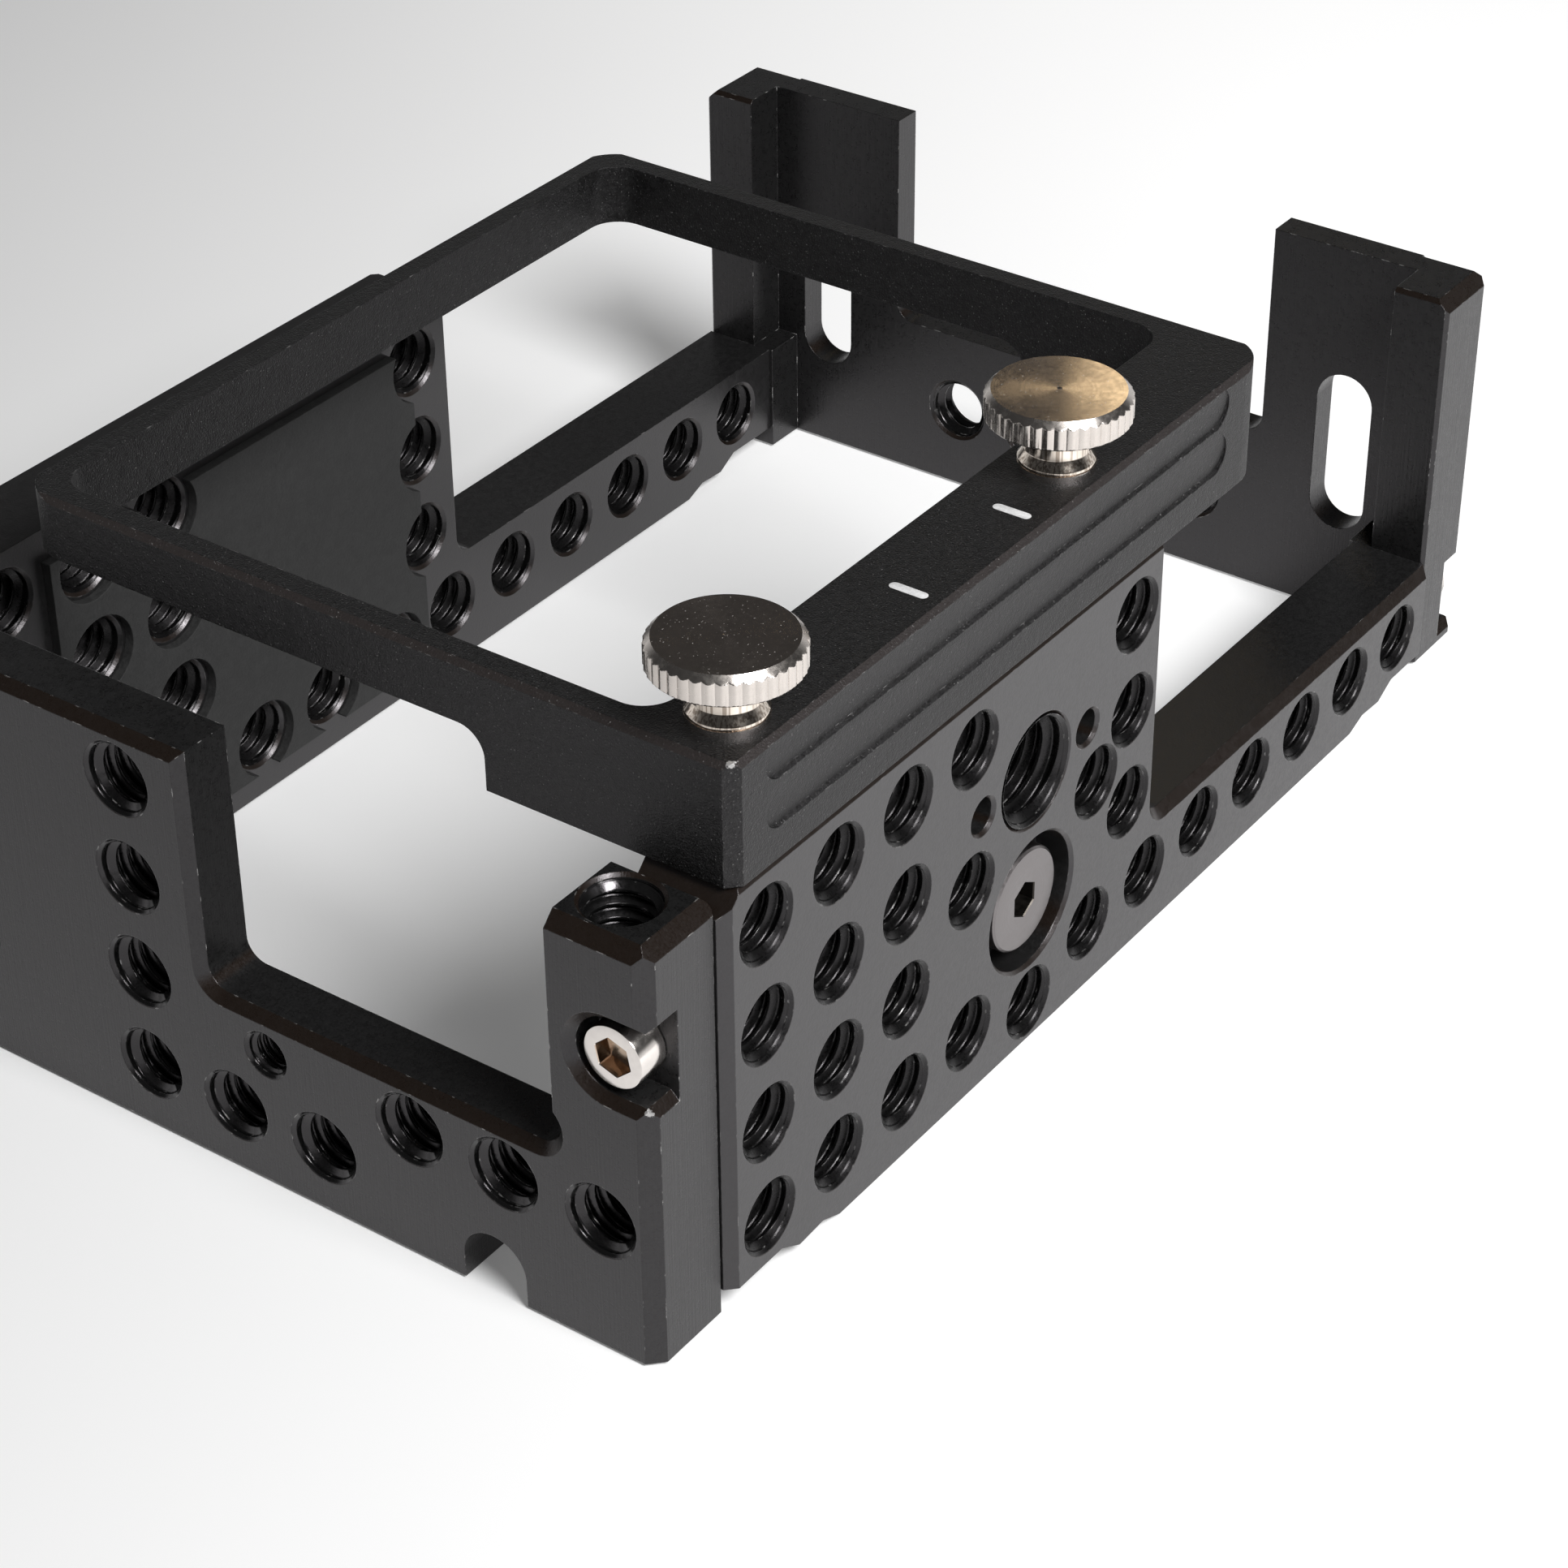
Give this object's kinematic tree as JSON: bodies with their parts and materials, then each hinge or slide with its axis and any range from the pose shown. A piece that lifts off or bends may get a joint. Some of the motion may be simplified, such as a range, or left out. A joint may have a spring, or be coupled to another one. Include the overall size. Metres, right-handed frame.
{
  "type": "camera cage",
  "caption": "Machined camera cage of screwed plates with threaded hole grids, a camera screw, an accessory shoe and a finder bracket held by knurled thumb screws.",
  "frame": {"origin": "under the middle of the bounding box, on the plane of the cage front edges, on which it lies", "axes": "+X along the camera width from the socket side to the hand side, +Y from the base plate to the top plate, +Z from the lens side to the camera back"},
  "size_m": [0.133, 0.093, 0.058],
  "materials": {
    "black_plate": "satin black anodised, milled",
    "black_bracket": "matte black anodised, bead blasted",
    "nickel_knob": "nickel plated, turned top",
    "bright_steel": "bright stainless steel",
    "screw_steel": "dull stainless steel",
    "black_washer": "matte",
    "rubber_pad": "matte, fine grain",
    "shoe_steel": "satin stainless steel"
  },
  "bodies": {
    "cage": {"base_plate": "black_plate", "top_plate": "black_plate", "left_side_frame": "black_plate", "right_side_frame": "black_plate", "bottom_left_cap_screw": "bright_steel", "bottom_right_cap_screw": "bright_steel", "top_left_cap_screw": "bright_steel", "top_right_cap_screw": "bright_steel", "bottom_left_dowel": "bright_steel", "bottom_right_dowel": "bright_steel", "top_left_dowel": "bright_steel", "top_right_dowel": "bright_steel", "base_pad": "rubber_pad", "top_pad": "rubber_pad", "finder_bracket": "black_bracket", "accessory_shoe": "shoe_steel", "shoe_screws": "shoe_steel"},
    "left_washer": {"left_thumb_washer": "nickel_knob"},
    "left_knob": {"left_thumb_screw": "nickel_knob"},
    "right_washer": {"right_thumb_washer": "nickel_knob"},
    "right_knob": {"right_thumb_screw": "nickel_knob"},
    "camera_washer": {"camera_screw_washer": "black_washer"},
    "camera_bolt": {"camera_screw": "screw_steel"}
  },
  "joints": [
    {"name": "left_knob_lift", "type": "slide", "parent": "cage", "child": "left_washer", "axis": [0, 0, 1], "range_m": [0, 0.0042]},
    {"name": "left_knob_turn", "type": "hinge", "parent": "left_washer", "child": "left_knob", "pos_m": [-0.0511, -0.04043, 0.051], "axis": [0, 0, 1], "range_deg": [0, 2160]},
    {"name": "right_knob_lift", "type": "slide", "parent": "cage", "child": "right_washer", "axis": [0, 0, 1], "range_m": [0, 0.0042]},
    {"name": "right_knob_turn", "type": "hinge", "parent": "right_washer", "child": "right_knob", "pos_m": [-0.0059, -0.04043, 0.051], "axis": [0, 0, 1], "range_deg": [0, 2160]},
    {"name": "camera_screw_lift", "type": "slide", "parent": "cage", "child": "camera_washer", "axis": [0, -1, 0], "range_m": [0, 0.00445]},
    {"name": "camera_screw_turn", "type": "hinge", "parent": "camera_washer", "child": "camera_bolt", "pos_m": [-0.0148, -0.04138, 0.01439], "axis": [0, -1, 0], "range_deg": [0, 1260]}
  ],
  "couplings": [
    {"joint": "left_knob_turn", "follows": "left_knob_lift", "rad_per_m": 8976},
    {"joint": "right_knob_turn", "follows": "right_knob_lift", "rad_per_m": 8976},
    {"joint": "camera_screw_turn", "follows": "camera_screw_lift", "rad_per_m": 4947.4}
  ]
}
